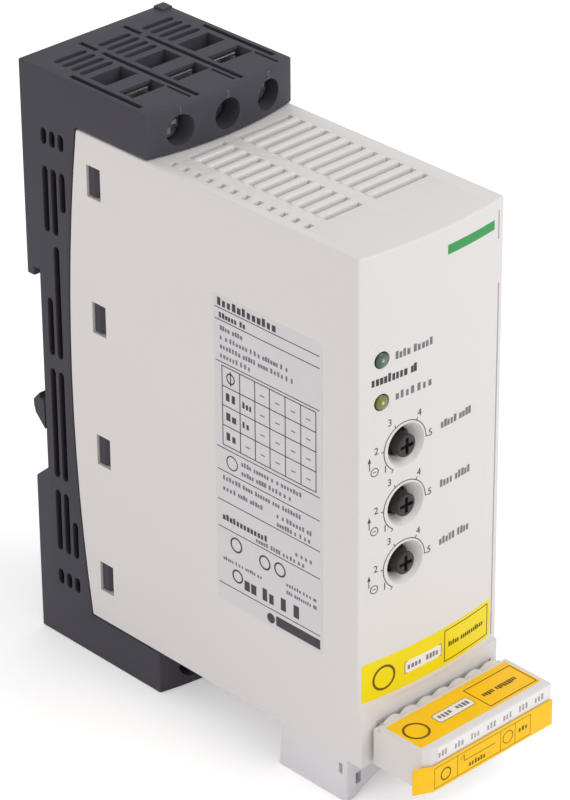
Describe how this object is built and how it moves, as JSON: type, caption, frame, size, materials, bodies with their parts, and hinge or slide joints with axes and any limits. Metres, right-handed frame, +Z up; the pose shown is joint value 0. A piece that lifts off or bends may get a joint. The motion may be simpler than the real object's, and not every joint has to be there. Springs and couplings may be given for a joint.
{
  "type": "soft starter",
  "caption": "Slim upright motor soft starter for a rail: dark base with screw terminals above and below, cream louvred cover, setting knobs, lamps and a pull-off control plug.",
  "frame": {"origin": "centre of the bounding box's base, on the surface that the unit stands on", "axes": "+Z up, -Y forward out of the front face, +X to the right as seen from the front"},
  "size_m": [0.045, 0.1306, 0.154],
  "materials": {
    "dark_plastic": "fine moulded grain",
    "cream_plastic": "fine moulded grain",
    "knob_plastic": "moulded",
    "blue_plastic": "moulded",
    "green_lens": "clear tinted, off",
    "yellow_lens": "clear tinted, off",
    "label_orange": "plain label film",
    "board_green": "coated board",
    "zinc_steel": "zinc plated",
    "spring_steel": "drawn wire",
    "tinned_copper": "tinned bar",
    "aluminium": "extruded"
  },
  "bodies": {
    "unit": {"base_housing": "dark_plastic", "front_cover": "cream_plastic", "latch_spring": "spring_steel", "line_bar_1": "tinned_copper", "line_bar_2": "tinned_copper", "line_bar_3": "tinned_copper", "load_bar_1": "tinned_copper", "load_bar_2": "tinned_copper", "load_bar_3": "tinned_copper", "power_lens": "green_lens", "run_lens": "yellow_lens", "trimmer_body_1": "blue_plastic", "trimmer_body_2": "blue_plastic", "trimmer_body_3": "blue_plastic", "control_header": "dark_plastic", "control_board": "board_green", "main_board": "board_green", "bypass_relay_1": "blue_plastic", "bypass_relay_2": "blue_plastic", "heat_sink": "aluminium", "power_module_1": "dark_plastic", "power_module_2": "dark_plastic"},
    "latch": {"rail_latch": "dark_plastic"},
    "plug": {"control_plug": "cream_plastic", "plug_front_label": "label_orange", "control_screw_1": "zinc_steel", "control_screw_2": "zinc_steel", "control_screw_3": "zinc_steel", "control_screw_4": "zinc_steel", "control_screw_5": "zinc_steel", "control_screw_6": "zinc_steel", "control_screw_7": "zinc_steel"},
    "knob_1": {"trimmer_knob_1": "knob_plastic"},
    "knob_2": {"trimmer_knob_2": "knob_plastic"},
    "knob_3": {"trimmer_knob_3": "knob_plastic"},
    "line_screw_body_1": {"line_screw_1": "zinc_steel"},
    "line_screw_body_2": {"line_screw_2": "zinc_steel"},
    "line_screw_body_3": {"line_screw_3": "zinc_steel"},
    "load_screw_body_1": {"load_screw_1": "zinc_steel"},
    "load_screw_body_2": {"load_screw_2": "zinc_steel"},
    "load_screw_body_3": {"load_screw_3": "zinc_steel"},
    "line_clamp_body_1": {"line_clamp_1": "zinc_steel"},
    "line_clamp_body_2": {"line_clamp_2": "zinc_steel"},
    "line_clamp_body_3": {"line_clamp_3": "zinc_steel"},
    "load_clamp_body_1": {"load_clamp_1": "zinc_steel"},
    "load_clamp_body_2": {"load_clamp_2": "zinc_steel"},
    "load_clamp_body_3": {"load_clamp_3": "zinc_steel"}
  },
  "joints": [
    {"name": "latch_slide", "type": "slide", "parent": "unit", "child": "latch", "axis": [0, 0, -1], "range_m": [0, 0.004], "stiffness_N_per_m": 2000, "springref_m": -0.001, "deforming": ["latch_spring"]},
    {"name": "plug_pull", "type": "slide", "parent": "unit", "child": "plug", "axis": [0, -1, 0], "range_m": [0, 0.008]},
    {"name": "knob_1_turn", "type": "hinge", "parent": "unit", "child": "knob_1", "pos_m": [-0.00945, -0.0479, 0.0922], "axis": [0, 1, 0], "range_deg": [-120, 120]},
    {"name": "knob_2_turn", "type": "hinge", "parent": "unit", "child": "knob_2", "pos_m": [-0.00945, -0.0479, 0.077], "axis": [0, 1, 0], "range_deg": [-120, 120]},
    {"name": "knob_3_turn", "type": "hinge", "parent": "unit", "child": "knob_3", "pos_m": [-0.00945, -0.0479, 0.0619], "axis": [0, 1, 0], "range_deg": [-120, 120]},
    {"name": "line_screw_1_turn", "type": "hinge", "parent": "unit", "child": "line_screw_body_1", "pos_m": [-0.0135, 0.02405, 0.1475], "axis": [0, 1, 0], "range_deg": [0, 1080]},
    {"name": "line_screw_2_turn", "type": "hinge", "parent": "unit", "child": "line_screw_body_2", "pos_m": [0, 0.02405, 0.1475], "axis": [0, 1, 0], "range_deg": [0, 1080]},
    {"name": "line_screw_3_turn", "type": "hinge", "parent": "unit", "child": "line_screw_body_3", "pos_m": [0.0135, 0.02405, 0.1475], "axis": [0, 1, 0], "range_deg": [0, 1080]},
    {"name": "load_screw_1_turn", "type": "hinge", "parent": "unit", "child": "load_screw_body_1", "pos_m": [-0.0135, 0.02405, 0.006], "axis": [0, 1, 0], "range_deg": [0, 1080]},
    {"name": "load_screw_2_turn", "type": "hinge", "parent": "unit", "child": "load_screw_body_2", "pos_m": [0, 0.02405, 0.006], "axis": [0, 1, 0], "range_deg": [0, 1080]},
    {"name": "load_screw_3_turn", "type": "hinge", "parent": "unit", "child": "load_screw_body_3", "pos_m": [0.0135, 0.02405, 0.006], "axis": [0, 1, 0], "range_deg": [0, 1080]},
    {"name": "line_clamp_1_slide", "type": "slide", "parent": "unit", "child": "line_clamp_body_1", "axis": [0, -1, 0], "range_m": [0, 0.0024]},
    {"name": "line_clamp_2_slide", "type": "slide", "parent": "unit", "child": "line_clamp_body_2", "axis": [0, -1, 0], "range_m": [0, 0.0024]},
    {"name": "line_clamp_3_slide", "type": "slide", "parent": "unit", "child": "line_clamp_body_3", "axis": [0, -1, 0], "range_m": [0, 0.0024]},
    {"name": "load_clamp_1_slide", "type": "slide", "parent": "unit", "child": "load_clamp_body_1", "axis": [0, -1, 0], "range_m": [0, 0.0024]},
    {"name": "load_clamp_2_slide", "type": "slide", "parent": "unit", "child": "load_clamp_body_2", "axis": [0, -1, 0], "range_m": [0, 0.0024]},
    {"name": "load_clamp_3_slide", "type": "slide", "parent": "unit", "child": "load_clamp_body_3", "axis": [0, -1, 0], "range_m": [0, 0.0024]}
  ],
  "couplings": [
    {"joint": "line_screw_1_turn", "follows": "line_clamp_1_slide", "rad_per_m": 7854},
    {"joint": "line_screw_2_turn", "follows": "line_clamp_2_slide", "rad_per_m": 7854},
    {"joint": "line_screw_3_turn", "follows": "line_clamp_3_slide", "rad_per_m": 7854},
    {"joint": "load_screw_1_turn", "follows": "load_clamp_1_slide", "rad_per_m": 7854},
    {"joint": "load_screw_2_turn", "follows": "load_clamp_2_slide", "rad_per_m": 7854},
    {"joint": "load_screw_3_turn", "follows": "load_clamp_3_slide", "rad_per_m": 7854}
  ]
}
